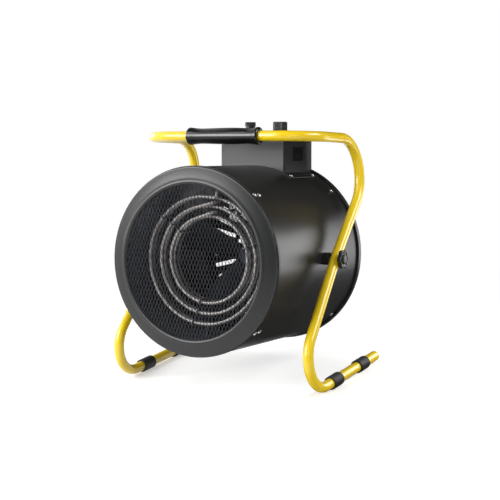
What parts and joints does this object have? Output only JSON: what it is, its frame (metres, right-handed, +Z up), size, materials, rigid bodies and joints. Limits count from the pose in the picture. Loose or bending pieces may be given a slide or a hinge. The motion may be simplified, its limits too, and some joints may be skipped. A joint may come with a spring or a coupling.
{
  "type": "forced air heater",
  "caption": "Round sheet-metal fan heater hung in a bent tube stand; it tilts, a fan blows air past coiled heating rods and out through a round net.",
  "frame": {"origin": "middle of the bounding box's bottom face, on the floor between the feet", "axes": "+Z up; -Y is the front, where the warm air leaves; +X is on the right in a view from the front, the side of the control box with the bare plate area"},
  "size_m": [0.4578, 0.4134, 0.5007],
  "materials": {
    "beige_plastic": "pale moulded insulating plastic",
    "black_paint": "satin black powder coat, faint grain",
    "black_plastic": "black moulded plastic, fine grain",
    "ceramic": "glazed white insulator",
    "fan_metal": "dull grey pressed sheet",
    "foot_rubber": "matt black moulded rubber",
    "grip_rubber": "black grip, slightly shiny",
    "knob_plastic": "black moulded dial knob",
    "liner_steel": "galvanised sheet, dulled by heat",
    "motor_paint": "matt black motor lacquer",
    "net_steel": "dark grey expanded sheet",
    "rod_steel": "dark annealed stainless sheath",
    "screw_steel": "zinc plated",
    "yellow_paint": "glossy yellow powder coat"
  },
  "bodies": {
    "stand": {"foot_sleeve_front_left": "foot_rubber", "foot_sleeve_front_right": "foot_rubber", "foot_sleeve_rear_left": "foot_rubber", "foot_sleeve_rear_right": "foot_rubber", "frame_joiner": "liner_steel", "frame_tube_left": "yellow_paint", "frame_tube_right": "yellow_paint", "handle_grip": "grip_rubber", "tube_plug_left": "yellow_paint", "tube_plug_right": "yellow_paint"},
    "heater": {"box_screws": "screw_steel", "cable_gland": "black_plastic", "control_box": "black_paint", "drum_shell": "black_paint", "front_net": "net_steel", "front_ring": "black_paint", "heating_rod_inner": "rod_steel", "heating_rod_middle": "rod_steel", "heating_rod_outer": "rod_steel", "liner": "liner_steel", "liner_screws": "screw_steel", "liner_spacers": "liner_steel", "motor_body": "motor_paint", "motor_bracket": "liner_steel", "pivot_nut_left": "screw_steel", "pivot_nut_right": "screw_steel", "pivot_spacer_left": "black_plastic", "pivot_spacer_right": "black_plastic", "pivot_stud_left": "screw_steel", "pivot_stud_right": "screw_steel", "rear_guard": "black_paint", "rear_ring": "black_paint", "ring_screws": "screw_steel", "rod_combs": "liner_steel", "switch_body": "black_plastic", "tail_screws": "screw_steel", "terminal_block": "beige_plastic", "terminal_bushes": "ceramic", "terminal_plate": "liner_steel", "thermostat_body": "black_plastic"},
    "fan": {"fan_wheel": "fan_metal", "motor_shaft": "screw_steel"},
    "thermostat_dial": {"thermostat_knob": "knob_plastic"},
    "selector_dial": {"selector_knob": "knob_plastic"},
    "clamp_disc_right": {"clamp_washer_right": "screw_steel"},
    "clamp_disc_left": {"clamp_washer_left": "screw_steel"},
    "clamp_star_right": {"clamp_knob_right": "black_plastic"},
    "clamp_star_left": {"clamp_knob_left": "black_plastic"}
  },
  "joints": [
    {"name": "tilt", "type": "hinge", "parent": "stand", "child": "heater", "pos_m": [0, 0.01353, 0.2378], "axis": [1, 0, 0], "range_deg": [-14, 25]},
    {"name": "fan_spin", "type": "hinge", "parent": "heater", "child": "fan", "pos_m": [0, 0.01353, 0.2378], "axis": [0, 0.992, -0.1262], "continuous": true},
    {"name": "thermostat_turn", "type": "hinge", "parent": "heater", "child": "thermostat_dial", "pos_m": [0.031, 0.13731, 0.46197], "axis": [0, -0.1262, -0.992], "range_deg": [0, 270]},
    {"name": "selector_turn", "type": "hinge", "parent": "heater", "child": "selector_dial", "pos_m": [-0.0385, 0.13731, 0.46197], "axis": [0, -0.1262, -0.992], "range_deg": [0, 135]},
    {"name": "clamp_travel_right", "type": "slide", "parent": "heater", "child": "clamp_disc_right", "axis": [1, 0, 0], "range_m": [0, 0.00125]},
    {"name": "clamp_turn_right", "type": "hinge", "parent": "clamp_disc_right", "child": "clamp_star_right", "pos_m": [0.23, 0.01353, 0.2378], "axis": [1, 0, 0], "range_deg": [0, 360]},
    {"name": "clamp_travel_left", "type": "slide", "parent": "heater", "child": "clamp_disc_left", "axis": [-1, 0, 0], "range_m": [0, 0.00125]},
    {"name": "clamp_turn_left", "type": "hinge", "parent": "clamp_disc_left", "child": "clamp_star_left", "pos_m": [-0.23, 0.01353, 0.2378], "axis": [-1, 0, 0], "range_deg": [0, 360]}
  ],
  "couplings": [
    {"joint": "clamp_travel_right", "follows": "clamp_turn_right", "m_per_rad": 0.0001989},
    {"joint": "clamp_travel_left", "follows": "clamp_turn_left", "m_per_rad": 0.0001989}
  ]
}
